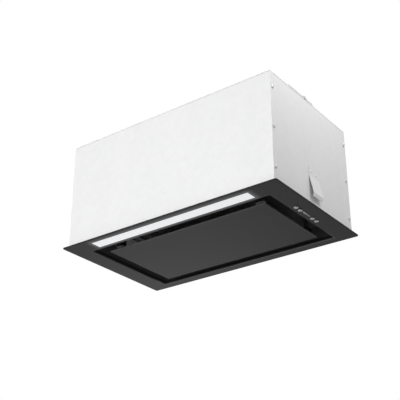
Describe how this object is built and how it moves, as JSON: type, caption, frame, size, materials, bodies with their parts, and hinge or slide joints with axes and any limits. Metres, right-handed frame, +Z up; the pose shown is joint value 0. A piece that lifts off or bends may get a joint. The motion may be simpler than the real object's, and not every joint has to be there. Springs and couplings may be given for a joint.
{
  "type": "built-in range hood",
  "caption": "Built-in range hood for a wall unit: flat black fascia with light strip, buttons and a drop-down suction panel, a sheet casing with blower, and a duct collar with check flaps.",
  "frame": {"origin": "centre of the plane where the fascia's seal meets the underside of the wall unit", "axes": "+Z up into the unit, +X to the right along the long side, -Y to the front, where the cook stands"},
  "size_m": [0.525, 0.31, 0.2894],
  "materials": {
    "black_paint": "satin fine-texture powder coat",
    "black_trim": "satin moulded",
    "galvanised": "zinc spangle, dull",
    "zinc_steel": "bright zinc plate",
    "spring_steel": "polished strip",
    "foam": "closed-cell foam",
    "rubber": "moulded rubber",
    "light_lens": "opal diffuser, lit",
    "aluminium": "mill finish",
    "filter_mesh": "black-coated expanded mesh",
    "button": "satin cap",
    "indicator": "clear light guide",
    "board": "green solder mask",
    "magnet": "nickel plate",
    "blower_plastic": "dark grey moulded",
    "impeller_plastic": "natural moulded",
    "motor": "machined stack and die-cast ends",
    "shaft": "ground",
    "collar_plastic": "black moulded",
    "flap_plastic": "dark moulded",
    "box_plastic": "pale grey moulded",
    "capacitor": "white can",
    "lead": "grey sheath"
  },
  "bodies": {
    "hood": {"fascia": "black_paint", "flange_seal": "foam", "intake_well": "black_paint", "casing_front": "galvanised", "casing_back": "galvanised", "casing_left": "galvanised", "casing_right": "galvanised", "casing_top": "galvanised", "pan_screws": "zinc_steel", "hinge_pins": "zinc_steel", "catch_magnets": "magnet", "hinge_bracket_right": "black_paint", "hinge_bracket_left": "black_paint", "catch_holder_right": "black_trim", "catch_holder_left": "black_trim", "side_spring_right": "spring_steel", "side_spring_left": "spring_steel", "light_bezel": "black_trim", "light_lens": "light_lens", "light_housing": "aluminium", "light_board": "board", "control_housing": "black_trim", "control_board": "board", "indicator_bar": "indicator", "filter_frame": "filter_mesh", "filter_mesh": "filter_mesh", "latch_cup": "black_trim", "latch_spring": "spring_steel", "scroll_left": "blower_plastic", "scroll_right": "blower_plastic", "outlet_duct": "blower_plastic", "motor": "motor", "motor_bracket": "zinc_steel", "motor_bushes": "rubber", "outlet_collar": "collar_plastic", "flap_pin": "zinc_steel", "terminal_box": "box_plastic", "terminal_lid": "box_plastic", "power_board": "board", "capacitor": "capacitor", "cable_gland": "collar_plastic", "lead_grommet": "rubber", "wiring_leads": "lead"},
    "panel": {"suction_panel": "black_paint", "panel_ribs": "black_paint", "hinge_arm_right": "black_paint", "hinge_arm_left": "black_paint", "striker_right": "black_paint", "striker_left": "black_paint"},
    "latch": {"filter_latch": "black_trim"},
    "fan": {"impeller": "impeller_plastic", "motor_shaft": "shaft"},
    "front_flap": {"flap_front": "flap_plastic"},
    "back_flap": {"flap_back": "flap_plastic"},
    "power_button": {"button_power": "button"},
    "slower_button": {"button_slower": "button"},
    "faster_button": {"button_faster": "button"},
    "light_button": {"button_light": "button"}
  },
  "joints": [
    {"name": "panel_hinge", "type": "hinge", "parent": "hood", "child": "panel", "pos_m": [0, 0.1038, 0.014], "axis": [1, 0, 0], "range_deg": [0, 90]},
    {"name": "latch_slide", "type": "slide", "parent": "hood", "child": "latch", "axis": [0, 1, 0], "range_m": [0, 0.005], "stiffness_N_per_m": 400, "springref_m": -0.003, "deforming": ["latch_spring"]},
    {"name": "fan_spin", "type": "hinge", "parent": "hood", "child": "fan", "pos_m": [0, -0.025, 0.1362], "axis": [1, 0, 0], "continuous": true},
    {"name": "front_flap_hinge", "type": "hinge", "parent": "hood", "child": "front_flap", "pos_m": [0, 0.028, 0.2455], "axis": [-1, 0, 0], "range_deg": [0, 75]},
    {"name": "back_flap_hinge", "type": "hinge", "parent": "hood", "child": "back_flap", "pos_m": [0, 0.028, 0.2455], "axis": [1, 0, 0], "range_deg": [0, 75]},
    {"name": "power_press", "type": "slide", "parent": "hood", "child": "power_button", "axis": [0, 0, 1], "range_m": [0, 0.0008], "stiffness_N_per_m": 600, "springref_m": -0.0008},
    {"name": "slower_press", "type": "slide", "parent": "hood", "child": "slower_button", "axis": [0, 0, 1], "range_m": [0, 0.0008], "stiffness_N_per_m": 600, "springref_m": -0.0008},
    {"name": "faster_press", "type": "slide", "parent": "hood", "child": "faster_button", "axis": [0, 0, 1], "range_m": [0, 0.0008], "stiffness_N_per_m": 600, "springref_m": -0.0008},
    {"name": "light_press", "type": "slide", "parent": "hood", "child": "light_button", "axis": [0, 0, 1], "range_m": [0, 0.0008], "stiffness_N_per_m": 600, "springref_m": -0.0008}
  ]
}
